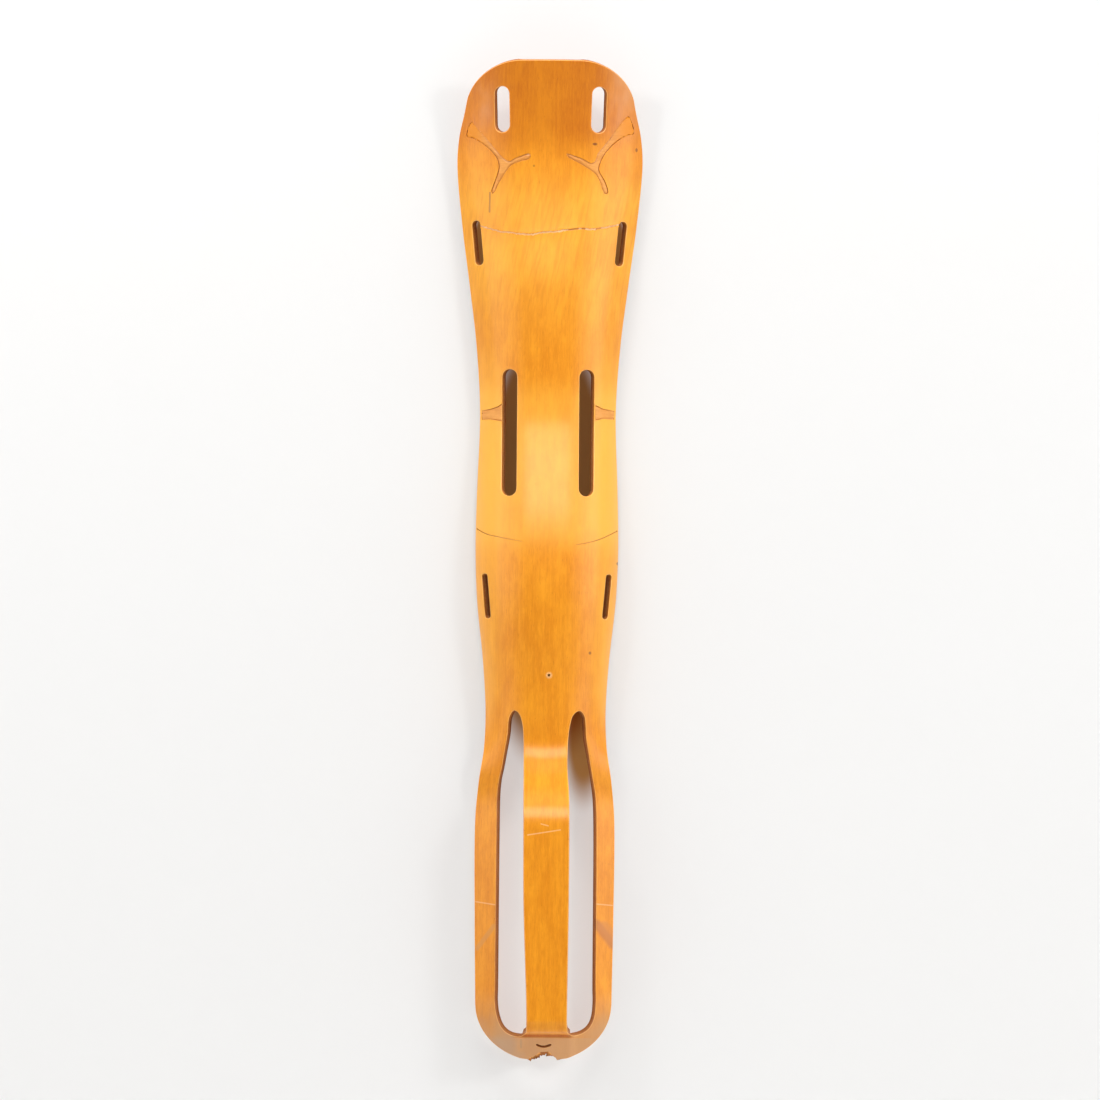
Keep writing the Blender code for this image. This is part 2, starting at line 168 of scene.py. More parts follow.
# Profiles of a free edge, as (distance in from the edge, depth in the veneer).
EASED = [(1.9, 0), (1.2, 0), (0.7, 0.11), (0.32, 0.36), (0.1, 0.78), (0, PLY)]
CRISP = [(0.5, 0), (0.13, 0), (0.05, 0.03), (0, 0.1), (0, 0.5), (0, PLY)]
PLAIN = [(0.07, 0), (0, 0.07), (0, PLY - 0.07), (0.07, PLY)]
EASED_SHARE = [0, 0, 0.3, 0.75, 1, 1]  # how far each ring of a profile counts as cut edge
PLAIN_SHARE = [1, 1, 1, 1]


# ---- curves ----------------------------------------------------------------------------------------
def smooth(stations, at):
    """Smooth curve through the stations (cubic, with Catmull-Rom slopes)."""
    z, y = np.array(stations, float).T
    slope = np.empty_like(y)
    slope[1:-1] = (y[2:] - y[:-2]) / (z[2:] - z[:-2])
    slope[0] = (y[1] - y[0]) / (z[1] - z[0])
    slope[-1] = (y[-1] - y[-2]) / (z[-1] - z[-2])
    at = np.clip(at, z[0], z[-1])
    i = np.clip(np.searchsorted(z, at) - 1, 0, len(z) - 2)
    step = z[i + 1] - z[i]
    s = (at - z[i]) / step
    return (y[i] * (1 + 2 * s) * (1 - s) ** 2 + slope[i] * step * s * (1 - s) ** 2
            + y[i + 1] * s * s * (3 - 2 * s) + slope[i + 1] * step * s * s * (s - 1))


def fade(low, high, at):
    """0 below low, 1 above high, with a smooth rise between them."""
    s = np.clip((at - low) / (high - low), 0.0, 1.0)
    return s * s * s * (10 - 15 * s + 6 * s * s)


def mix(a, b, share):
    return a + (b - a) * share


# ---- the mould -------------------------------------------------------------------------------------
def lip_depth(x, z):
    """Depth of the tilted band that follows the outline: the two rails and the lip."""
    half = smooth(HALF_WIDTH, z)
    reach = np.hypot(x, HEEL_HEIGHT - z)
    share = np.maximum(np.hypot(x / half, 1 - z / HEEL_HEIGHT), 1e-9)
    inward = np.where(z >= HEEL_HEIGHT, half - np.abs(x), reach / share - reach)
    return smooth(EDGE_DEPTH, z) + inward * math.tan(RAIL_TILT)


def foot_depth(z):
    """Depth of the strip's foot: a round shoulder, a steep run, and a round crease at the lip."""
    low, steep = RAIL_TILT, FOOT_ANGLE
    base = lip_depth(np.float64(0), np.float64(FOOT_BASE))
    crease_top = FOOT_BASE + FOOT_BASE_RADIUS * (math.sin(steep) - math.sin(low))
    crease_depth = FOOT_BASE_RADIUS * (math.cos(low) - math.cos(steep))
    shoulder_depth = FOOT_TOP_RADIUS * (1 - math.cos(steep))
    run_depth = STRIP_FACE - base - crease_depth - shoulder_depth
    run_top = crease_top + run_depth / math.tan(steep)
    crease = np.clip(math.sin(low) + (z - FOOT_BASE) / FOOT_BASE_RADIUS, 0, math.sin(steep))
    shoulder = np.clip(math.sin(steep) - (z - run_top) / FOOT_TOP_RADIUS, 0, math.sin(steep))
    return np.select(
        [z <= FOOT_BASE, z <= crease_top, z <= run_top],
        [lip_depth(0 * z, z),
         base + FOOT_BASE_RADIUS * (math.cos(low) - np.sqrt(1 - crease ** 2)),
         base + crease_depth + (z - crease_top) * math.tan(steep)],
        STRIP_FACE - FOOT_TOP_RADIUS * (1 - np.sqrt(1 - shoulder ** 2)))


def spine_depth(z):
    """Depth of the outer face along the middle of the splint."""
    upper = mix(STRIP_FACE, smooth(TROUGH_DEPTH, z), fade(STRIP_LOW, STRIP_HIGH, z))
    return np.where(z < (STRIP_LOW + HEEL_HEIGHT) / 2, foot_depth(z), upper)


def section(z):
    """Half width, tangent angle at the free edge, and how far the section has opened into rails."""
    half = smooth(HALF_WIDTH, z)
    angle = 2 * np.arctan((smooth(TROUGH_DEPTH, z) - smooth(EDGE_DEPTH, z)) / half)
    return half, angle, 1 - fade(RAIL_FULL, RAIL_START, z)


def strip_share(x, z):
    """1 on the heel strip, 0 on the rails, with a smooth change between them."""
    up = np.minimum(z / STRIP_HIGH, 1)
    return 1 - fade(mix(*STRIP_INNER, up), mix(*STRIP_OUTER, up), np.abs(x - mix(*STRIP_MIDDLE, up)))


def across(t, z):
    """Distance from the axis of the point that lies t of the way round the section."""
    half, angle, opened = section(z)
    return mix(half * np.sin(angle * t) / np.sin(angle), half * t, opened)


def mould(t, z):
    """Points of the outer face: t is -1 to 1 round the section, z is the height."""
    half, angle, opened = section(z)
    x = across(t, z)
    drop = half / np.sin(angle) * (1 - np.cos(angle * t)) * (1 - opened)
    side = mix(smooth(TROUGH_DEPTH, z) - drop, lip_depth(x, z), opened)
    depth = mix(side, spine_depth(z) - drop, strip_share(x, z))
    return np.stack([x, -depth, z], axis=-1)


def unit(v):
    return v / np.maximum(np.linalg.norm(v, axis=-1, keepdims=True), 1e-12)


def outward(t, z, dt=0.004, dz=0.2):
    """Unit normals of the mould, pointing out of the trough."""
    round_section = mould(t + dt, z) - mould(t - dt, z)
    up = mould(t, z + dz) - mould(t, z - dz)
    return unit(np.cross(round_section, up))


def turn(x, z):
    """The t of the points that are seen from the front at x."""
    low, high = np.full(np.shape(x), -TURN_LIMIT), np.full(np.shape(x), TURN_LIMIT)
    for _ in range(HALVINGS):
        t = (low + high) / 2
        short = across(t, z) < x
        low, high = np.where(short, t, low), np.where(short, high, t)
    return (low + high) / 2


def half_girth(z):
    """Length round the section from the axis to the free edge."""
    half, angle, opened = section(z)
    return mix(half * angle / np.sin(angle), half, opened)


def flat(path):
    """Places on the flat pattern of the points seen from the front at (x, z)."""
    x, z = np.array(path, float).T
    return np.stack([turn(x, z) * half_girth(z), z], axis=-1)


# ---- outlines --------------------------------------------------------------------------------------
def curved(points, closed=True, steps=16):
    """A smooth path through the points: a centripetal Catmull-Rom curve."""
    p = np.array(points, float)
    if closed:
        p = np.concatenate([p[-1:], p, p[:2]])
    else:
        p = np.concatenate([2 * p[:1] - p[1:2], p, 2 * p[-1:] - p[-2:-1]])
    path = []
    for a, b, c, d in zip(p, p[1:], p[2:], p[3:]):
        k1 = math.sqrt(np.hypot(*(b - a)))
        k2 = k1 + math.sqrt(np.hypot(*(c - b)))
        k3 = k2 + math.sqrt(np.hypot(*(d - c)))
        for k in np.linspace(k1, k2, steps, endpoint=False):
            ab = mix(a, b, k / k1)
            bc = mix(b, c, (k - k1) / (k2 - k1))
            cd = mix(c, d, (k - k2) / (k3 - k2))
            path.append(mix(mix(ab, bc, k / k2), mix(bc, cd, (k - k1) / (k3 - k1)), (k - k1) / (k2 - k1)))
    return path if closed else path + [p[-2]]


def spaced(path, spacing, closed=True):
    """The same path with points at even spaces, measured on the pressed sheet."""
    p = np.array(list(path) + [path[0]] if closed else path, float)
    dense = np.concatenate([np.linspace(a, b, 8, endpoint=False) for a, b in zip(p, p[1:])] + [p[-1:]])
    on_sheet = mould(turn(dense[:, 0], dense[:, 1]), dense[:, 1])
    along = np.concatenate([[0], np.cumsum(np.linalg.norm(np.diff(on_sheet, axis=0), axis=1))])
    count = max(3, math.ceil(along[-1] / spacing))
    stops = np.linspace(0, along[-1], count + 1)
    even = np.stack([np.interp(stops, along, dense[:, k]) for k in (0, 1)], axis=-1)
    return even[:-1] if closed else even


def outline():
    """Outer edge of the splint, counter-clockwise from the broken heel end, as two paths."""
    turns = np.radians(np.arange(20, 90, 2.5))
    right = list(zip(HALF_WIDTH[0][1] * np.sin(turns), HEEL_HEIGHT * (1 - np.cos(turns))))
    top = LENGTH - CORNER_HEIGHT
    joint = top + CORNER_HEIGHT * math.sin(math.radians(CORNER_START))
    heights = np.linspace(HEEL_HEIGHT, joint, 240)
    right += list(zip(smooth(HALF_WIDTH, heights), heights))
    turns = np.radians(np.arange(CORNER_START + 2, 91, 2))
    right += list(zip(CORNER_X + CORNER_WIDTH * np.cos(turns), top + CORNER_HEIGHT * np.sin(turns)))
    left = [(-x, z) for x, z in reversed(right)]
    return spaced([NOTCH[-1]] + right + left + [NOTCH[0]], EDGE_GRID, closed=False)


def slot(top, bottom, width):
    """A slot with round ends, whose ends' centres are given."""
    path = []
    lean = math.atan2(top[1] - bottom[1], top[0] - bottom[0])
    for centre, start in ((top, lean - math.pi / 2), (bottom, lean + math.pi / 2)):
        for a in np.linspace(start, start + math.pi, 13):
            path.append((centre[0] + width / 2 * math.cos(a), centre[1] + width / 2 * math.sin(a)))
    return spaced(path, min(EDGE_GRID, width / 5))


def slit(path, widths):
    """A thin gap along a path, tapering from one width to the other."""
    p = spaced(curved(path, closed=False), DART_GRID, closed=False)
    along = unit(np.gradient(p, axis=0))
    side = np.stack([-along[:, 1], along[:, 0]], axis=-1)
    half = np.linspace(*widths, len(p))[:, None] / 2
    aside = side[1:-1] * half[1:-1]
    return np.concatenate([p[:1], p[1:-1] - aside, p[-1:], (p[1:-1] + aside)[::-1]])


def tear(random):
    """The ragged gap of the tear, and the line along its middle."""
    middle = spaced(curved(TEAR, closed=False), DART_GRID, closed=False)
    wander = np.cumsum(random.normal(0, 0.2, len(middle)))
    middle[:, 1] += wander - np.linspace(wander[0], wander[-1], len(wander))
    low = middle - [0, 1] * random.uniform(0.5, 1.15, (len(middle), 1))
    high = middle + [0, 1] * random.uniform(0.6, 1.3, (len(middle), 1))
    return np.concatenate([middle[:1], low[1:-1], middle[-1:], high[1:-1][::-1]]), middle[1:-1]


def circle(x, z, radius, count=14):
    turns = np.linspace(0, 2 * math.pi, count, endpoint=False)
    return np.stack([x + radius * np.cos(turns), z + radius * np.sin(turns)], axis=-1)


# ---- the flat pattern ------------------------------------------------------------------------------
def inside(points, loop):
    """Which pattern points are inside a loop of pattern points."""
    found = np.zeros(len(points), bool)
    low, high = loop.min(0), loop.max(0)
    near = np.all((points >= low) & (points <= high), axis=1)
    p, hit = points[near], np.zeros(near.sum(), bool)
    for (u0, v0), (u1, v1) in zip(loop, np.roll(loop, -1, axis=0)):
        if v0 != v1:
            crossing = u0 + (p[:, 1] - v0) / (v1 - v0) * (u1 - u0)
            hit ^= ((v0 > p[:, 1]) != (v1 > p[:, 1])) & (p[:, 0] < crossing)
    found[near] = hit
    return found


def gap_to(points, loop, closed=True):
    """Distance from pattern points to the nearest edge of a loop."""
    nearest = np.full(len(points), 1e9)
    ends = np.roll(loop, -1, axis=0) if closed else loop[1:]
    for a, b in zip(loop, ends):
        d = b - a
        s = np.clip(((points - a) @ d) / max(d @ d, 1e-12), 0, 1)
        off = points - a - s[:, None] * d
        nearest = np.minimum(nearest, np.hypot(off[:, 0], off[:, 1]))
    return nearest


def foot_rows():
    """Rows of points across the strip's foot, close enough together to follow its bends."""
    z = np.arange(FOOT_BASE - 1, HEEL_HEIGHT - 8, 0.02)
    depth = spine_depth(z)
    along = np.concatenate([[0], np.cumsum(np.hypot(np.diff(z), np.diff(depth)))])
    stops = np.interp(np.arange(0, along[-1], FOOT_ROW_STEP), along, z)
    return [[(x, height) for x in FOOT_ROW] for height in stops]


def hexagonal(low, high, spacing):
    """Points at the corners of equal triangles that fill a box."""
    rows = np.arange(low[1], high[1], spacing * math.sqrt(3) / 2)
    return np.array([(u + (k % 2) * spacing / 2, v) for k, v in enumerate(rows)
                     for u in np.arange(low[0], high[0], spacing)])


class Pattern:
    """The flat pattern cut once for all five veneers: its points, triangles and what each lies in."""

    def __init__(self):
        random = np.random.default_rng(SEED)
        ragged = spaced(NOTCH, NOTCH_GRID, closed=False)[1:-1]
        edge = flat(np.concatenate([ragged, outline()]))
        through = [flat(spaced(curved(window), EDGE_GRID)) for window in HEEL_WINDOWS]
        through.append(flat(slit(LIP_SLOT, (LIP_SLOT_WIDTH, LIP_SLOT_WIDTH))))
        for top, bottom, width in SLOTS:
            for side in (-1, 1):
                through.append(flat(slot((side * top[0], top[1]), (side * bottom[0], bottom[1]), width)))
        darts = [flat(spaced(curved(dart, steps=6), DART_GRID)) for dart in THIGH_DARTS]
        darts += [flat(spaced(dart, DART_GRID)) for dart in KNEE_DARTS]
        slits = [flat(slit(*cut)) for cut in CALF_SLITS]
        torn, torn_middle = tear(random)
        torn, torn_middle = flat(torn), flat(torn_middle)
        nail = flat(circle(*NAIL))

        loops = [edge] + through + darts + slits + [torn, nail]
        points, seams = [], []
        for loop in loops:
            first = len(points)
            points += list(loop)
            seams += [(first + i, first + (i + 1) % len(loop)) for i in range(len(loop))]
        first_cut = len(ragged)
        eased = set(range(first_cut, sum(len(loop) for loop in loops[:1 + len(through)])))
        first = len(points)
        points += list(torn_middle)
        seams += [(first + i, first + i + 1) for i in range(len(torn_middle) - 1)]

        rows = [flat(row) for row in foot_rows()]
        for row in rows:
            keep = ~np.any([inside(row, cut) for cut in through], axis=0)
            keep &= np.min([gap_to(row, cut) for cut in through[:2]], axis=0) > FOOT_ROW_GAP
            row = row[keep]
            first = len(points)
            points += list(row)
            seams += [(first + i, first + i + 1) for i in range(len(row) - 1)]

        spots = hexagonal((-150, 2), (150, LENGTH), GRID)
        spots += random.uniform(-SPOT_JITTER, SPOT_JITTER, spots.shape)
        for loop in loops:
            spots = spots[gap_to(spots, loop) > SPOT_GAP]
        spots = spots[inside(spots, edge) & ~np.any([inside(spots, cut) for cut in through], axis=0)]
        foot = (spots[:, 0] > FOOT_SIDES[0]) & (spots[:, 0] < FOOT_SIDES[1])
        foot &= (spots[:, 1] > FOOT_BASE - 3) & (spots[:, 1] < HEEL_HEIGHT - 6)
        in_dart = np.any([inside(spots, dart) for dart in darts], axis=0)
        points += list(spots[~foot & ~in_dart])
        for dart in darts:
            fine = hexagonal(dart.min(0), dart.max(0), DART_GRID)
            fine = fine[inside(fine, dart) & inside(fine, edge) & (gap_to(fine, dart) > DART_GAP)]
            fine = fine[np.min([gap_to(fine, loop) for loop in [edge] + through], axis=0) > DART_EDGE_GAP]
            points += list(fine)

        verts, _, faces, origins, *_ = delaunay_2d_cdt(
            [Vector(p) for p in points], seams, [], 0, 1e-4)
        self.places = np.array([tuple(v) for v in verts])
        faces = np.array(faces)
        middles = self.places[faces].mean(axis=1)
        kept = inside(middles, edge) & ~np.any([inside(middles, cut) for cut in through], axis=0)
        self.faces, middles = faces[kept], middles[kept]
        self.in_dart = np.any([inside(middles, dart) for dart in darts], axis=0)
        self.in_slit = np.any([inside(middles, cut) for cut in slits], axis=0)
        self.in_tear = inside(middles, torn)
        self.in_nail = inside(middles, nail)
        self.eased = np.array([bool(eased.intersection(o)) for o in origins])
        self.lay(darts, torn, torn_middle, random)

    def lay(self, darts, torn, torn_middle, random):
        """Lay the pattern's points on the mould, and work out how each is raised, torn or chipped."""
        z = self.places[:, 1]
        self.t = self.places[:, 0] / half_girth(z)
        self.skin = mould(self.t, z)
        self.normal = outward(self.t, z)
        dart_gaps = [np.where(inside(self.places, dart), gap_to(self.places, dart), 0) for dart in darts]
        dart_gap = np.max(dart_gaps, axis=0)
        self.swell = DART_SWELL * fade(0.0, 1.1, dart_gap)
        aside = np.abs(self.skin[:, 0])
        flush = np.where(z > 900, fade(*THIGH_FLUSH, aside), fade(*KNEE_FLUSH, aside)) * (dart_gap > 0)
        self.swell = mix(self.swell, PLY - 0.04, flush)
        self.torn = np.zeros(len(self.places))
        middle = gap_to(self.places, torn_middle, closed=False) < ON_CUT
        x = self.skin[:, 0]
        open_here = np.any([(x > a) & (x < b) for a, b in TEAR_OPEN], axis=0)
        self.swell[middle & ~open_here] = DART_SWELL
        self.torn[middle | (gap_to(self.places, torn) < ON_CUT)] = 1
        self.torn[open_here] = 0
        self.lip = np.where(gap_to(self.places, torn) < ON_CUT, random.uniform(0.0, TEAR_LIFT, len(x)), 0)
        self.ragged = np.where(z < 12.5, fade(15.5, 11.0, np.abs(x + 2.5)), 0.0)


# ---- veneers ---------------------------------------------------------------------------------------
def store(mesh, name, kind, key, values):
    """Keep a value for each point of a mesh, for its material to read."""
    made = mesh.attributes.new(name, kind, "POINT")
    made.data.foreach_set(key, values.astype(np.float32).ravel())


def veneer(name, node, pattern, layer, look):
    """One veneer of the sheet, with its cut edges shaped, as a closed mesh."""
    faces = pattern.faces
    if layer == 0:
        gone = pattern.in_dart | pattern.in_slit | pattern.in_tear | pattern.in_nail
        faces = faces[~gone]
    elif layer == 1:
        faces = faces[~pattern.in_nail]
    edges = {(a, b) for face in faces.tolist() for a, b in zip(face, face[1:] + face[:1])}
    rim = [(a, b) for a, b in sorted(edges) if (b, a) not in edges]
    following, before = dict(rim), {b: a for a, b in rim}
    border = np.array(sorted(following))
    ahead = np.array([following[i] for i in border])
    behind = np.array([before[i] for i in border])

    skin, normal = pattern.skin, pattern.normal
    along = unit(unit(skin[ahead] - skin[border]) + unit(skin[border] - skin[behind]))
    inward = unit(np.cross(normal[border], along))
    eased = (pattern.eased[border] & pattern.eased[ahead] & pattern.eased[behind])[:, None, None]
    if layer == 0:
        rings, share = np.where(eased, np.array(EASED), np.array(CRISP)), EASED_SHARE
    elif layer == PLIES - 1:
        rings = np.where(eased, np.array(EASED), np.array(CRISP))[:, ::-1].copy()
        rings[:, :, 1] = PLY - rings[:, :, 1]
        share = EASED_SHARE[::-1]
    else:
        rings, share = np.broadcast_to(np.array(PLAIN), (len(border), 4, 2)), PLAIN_SHARE

    random = np.random.default_rng(SEED + layer)
    chipped = pattern.ragged[border] * random.uniform(*CHIPPED[layer], len(border))
    top = layer * PLY
    lift = np.zeros(len(skin))
    if layer == 0:
        lift = pattern.lip
    elif layer == 1:
        lift = pattern.swell
    used = np.unique(faces)
    index = np.full(len(skin), -1)
    index[used] = np.arange(len(used))
    on_rim = index[border]

    def pressed(which, depth):
        return skin[which] - normal[which] * np.asarray(depth)[..., None]

    front = pressed(used, top - lift[used])
    back = pressed(used, np.full(len(used), top + PLY))
    loops = []
    for k in range(rings.shape[1]):
        depth = top + rings[:, k, 1] - lift[border] * (1 - rings[:, k, 1] / PLY)
        loops.append(pressed(border, depth) + inward * (rings[:, k, 0] + chipped)[:, None])
    front[on_rim], back[on_rim] = loops[0], loops[-1]
    count, loop_size = len(used), len(border)
    points = np.concatenate([front, back] + loops[1:-1])

    def ring_index(k):
        if k == 0:
            return on_rim
        if k == rings.shape[1] - 1:
            return on_rim + count
        return 2 * count + (k - 1) * loop_size + np.arange(loop_size)

    place = {v: i for i, v in enumerate(border.tolist())}
    here = np.arange(loop_size)
    after = np.array([place[v] for v in ahead.tolist()])
    polygons = [tuple(face) for face in index[faces].tolist()]
    polygons += [tuple(face[::-1]) for face in (index[faces] + count).tolist()]
    for k in range(rings.shape[1] - 1):
        near, far = ring_index(k), ring_index(k + 1)
        corners = (near[after], near[here], far[here], far[after])
        polygons += list(zip(*(corner.tolist() for corner in corners)))

    mesh = bpy.data.meshes.new(name)
    mesh.from_pydata((points + [0, 0, HEEL_Z]) * MM, [], polygons)
    mesh.shade_smooth()
    mesh.set_sharp_from_angle(angle=math.radians(38))
    mesh.materials.append(look)

    u, z = pattern.places[used].T
    rim_u, rim_z = pattern.places[border].T
    depths = [np.full(count, top), np.full(count, top + PLY)] + [top + rings[:, k, 1] for k in
                                                                 range(1, rings.shape[1] - 1)]
    grain = np.stack([np.concatenate([u, u] + [rim_u] * (len(loops) - 2)),
                      np.concatenate([z, z] + [rim_z] * (len(loops) - 2)),
                      np.concatenate(depths)], axis=-1)
    store(mesh, "grain", "FLOAT_VECTOR", "vector", grain)
    clean = 1 - 0.75 * pattern.torn[border]
    cut = np.concatenate([np.zeros(2 * count)] + [s * clean for s in share[1:-1]])
    cut[on_rim], cut[on_rim + count] = share[0] * clean, share[-1] * clean
    store(mesh, "cut", "FLOAT", "value", cut)
    torn = np.concatenate([pattern.torn[used], np.zeros(count)] + [pattern.torn[border]] * (len(loops) - 2))
    store(mesh, "torn", "FLOAT", "value", torn)

    piece = bpy.data.objects.new(name, mesh)
    bpy.context.scene.collection.objects.link(piece)
    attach(piece, "root")
    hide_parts(node)
    return piece


# ---- materials -------------------------------------------------------------------------------------
class Tree:
    """Short ways to add nodes to a material."""

    def __init__(self, tree):
        self.tree = tree

    def add(self, kind, *inputs, out=0, **settings):
        made = self.tree.nodes.new(kind)
        for key, value in settings.items():
            setattr(made, key, value)
        for i, value in enumerate(inputs):
            self.set(made.inputs[i], value)
        return made.outputs[out]

    def set(self, socket, value):
        if value is None:
            return
        if isinstance(value, bpy.types.NodeSocket):
            self.tree.links.new(value, socket)
        else:
            socket.default_value = value

    def math(self, operation, *inputs, clamp=False):
        return self.add("ShaderNodeMath", *inputs, operation=operation, use_clamp=clamp)

    def vector(self, operation, *inputs):
        out = 1 if operation in ("LENGTH", "DOT_PRODUCT", "DISTANCE") else 0
        return self.add("ShaderNodeVectorMath", *inputs, operation=operation, out=out)

    def ramp(self, value, low, high, to_low=0.0, to_high=1.0):
        made = self.tree.nodes.new("ShaderNodeMapRange")
        made.interpolation_type = "SMOOTHSTEP"
        for i, v in enumerate((value, low, high, to_low, to_high)):
            self.set(made.inputs[i], v)
        return made.outputs[0]

    def noise(self, vector, scale, detail=2.0, rough=0.5):
        made = self.tree.nodes.new("ShaderNodeTexNoise")
        made.inputs["Scale"].default_value = 1.0
        made.inputs["Detail"].default_value = detail
        made.inputs["Roughness"].default_value = rough
        self.set(made.inputs["Vector"], self.vector("MULTIPLY", vector, scale))
        return made.outputs[0]

    def tint(self, colour, by, amount, blend="MULTIPLY"):
        made = self.tree.nodes.new("ShaderNodeMix")
        made.data_type = "RGBA"
        made.blend_type = blend
        self.set(made.inputs[0], amount)
        self.set(made.inputs[6], colour)
        self.set(made.inputs[7], by)
        return made.outputs[2]


def field(nodes, name, out):
    made = nodes.tree.nodes.new("ShaderNodeAttribute")
    made.attribute_name = name
    return made.outputs[out]


def blot(nodes, place, x, z, wide, high, soft=0.4):
    """1 inside an ellipse on the front of the splint, 0 outside it."""
    off = nodes.vector("SUBTRACT", place, (x * MM, 0, (z + HEEL_Z) * MM))
    off = nodes.vector("MULTIPLY", off, (1 / (wide * MM), 0, 1 / (high * MM)))
    return nodes.ramp(nodes.vector("LENGTH", off), 1 - soft, 1 + soft, 1.0, 0.0)


def stroke(nodes, place, start, end, width):
    """1 on a straight mark from start to end on the front of the splint, 0 away from it."""
    a = Vector((start[0] * MM, 0, (start[1] + HEEL_Z) * MM))
    d = Vector((end[0] * MM, 0, (end[1] + HEEL_Z) * MM)) - a
    off = nodes.vector("SUBTRACT", nodes.vector("MULTIPLY", place, (1, 0, 1)), tuple(a))
    along = nodes.math("DIVIDE", nodes.vector("DOT_PRODUCT", off, tuple(d)), d.length_squared, clamp=True)
    made = nodes.tree.nodes.new("ShaderNodeVectorMath")
    made.operation = "SCALE"
    made.inputs[0].default_value = tuple(d)
    nodes.set(made.inputs["Scale"], along)
    gap = nodes.vector("DISTANCE", off, made.outputs[0])
    return nodes.ramp(gap, width * 0.3 * MM, width * 0.9 * MM, 1.0, 0.0)


def wood(name, pale, deep, along=(1, 0), rough=0.55, coat=0.5, marks=None, seed=0.0):
    """Varnished veneer: clouds, blotches, streaks, fibres and flecks, which follow the pattern's grain."""
    made = bpy.data.materials.new(name)
    made.use_nodes = True
    nodes = Tree(made.node_tree)
    shader = made.node_tree.nodes["Principled BSDF"]
    grain = nodes.vector("ADD", field(nodes, "grain", 1), (seed, seed * 3.1, seed * 7.7))
    cut = field(nodes, "cut", 2)
    place = nodes.add("ShaderNodeTexCoord", out=3)
    run, side = along

    def stretched(across_grain, with_grain):
        """Noise scale for marks of these sizes across and along the grain, in millimetres."""
        a, b = 1 / across_grain, 1 / with_grain
        return (a * run + b * side, b * run + a * side, 0.8)

    layers = ((stretched(34, 120), 2.0, 0.55),    # clouds
              (stretched(9, 26), 3.0, 0.55),      # blotches
              (stretched(2.4, 70), 3.0, 0.5),     # streaks
              (stretched(0.6, 9), 3.0, 0.65))     # fibres
    tone = 0.5
    for scale, detail, strength in layers:
        mottle = nodes.noise(grain, scale, detail, 0.6)
        tone = nodes.math("MULTIPLY_ADD", nodes.math("SUBTRACT", mottle, 0.5), strength, tone)
    colour = nodes.tint(pale, deep, nodes.ramp(tone, 0.22, 0.78), "MIX")
    flecks = nodes.noise(grain, stretched(0.9, 5.0), 1.0)
    dark_flecks = nodes.ramp(flecks, 0.66, 0.76)
    colour = nodes.tint(colour, (0.74, 0.6, 0.5, 1), nodes.math("MULTIPLY", dark_flecks, 0.6))
    if marks:
        colour = marks(nodes, colour, grain, place)
    plies = nodes.noise(field(nodes, "grain", 1), (0.35, 0.35, 3.4), 2.0)
    # Painted highlight: a paler line along the rounded part of the eased edges.
    painted_edge_highlight = nodes.math("MULTIPLY", nodes.ramp(cut, 0.02, 0.3), nodes.ramp(cut, 0.9, 0.6))
    colour = nodes.tint(colour, (0.95, 0.56, 0.2, 1), nodes.math("MULTIPLY", painted_edge_highlight, 0.55), "MIX")
    # The cut faces are darker end grain, in bands that follow the plies.
    dark_end_grain_and_painted_shade = nodes.math("MULTIPLY", nodes.ramp(cut, 0.7, 1.0), nodes.ramp(plies, 0.3, 0.7, 0.75, 1.0))
    colour = nodes.tint(colour, (0.5, 0.34, 0.26, 1), dark_end_grain_and_painted_shade)

    bump = nodes.tree.nodes.new("ShaderNodeBump")
    bump.inputs["Strength"].default_value = 0.3
    bump.inputs["Distance"].default_value = 0.00005
    nodes.set(bump.inputs["Height"], nodes.math("MULTIPLY_ADD", dark_flecks, -0.5, mottle))
    nodes.set(shader.inputs["Base Color"], colour)
    nodes.set(shader.inputs["Normal"], bump.outputs[0])
    nodes.set(shader.inputs["Roughness"], nodes.ramp(tone, 0.2, 0.8, rough, rough + 0.14))
    shader.inputs["Specular IOR Level"].default_value = 0.06
    shader.inputs["Coat Weight"].default_value = coat
    shader.inputs["Coat Roughness"].default_value = 0.28
    return made


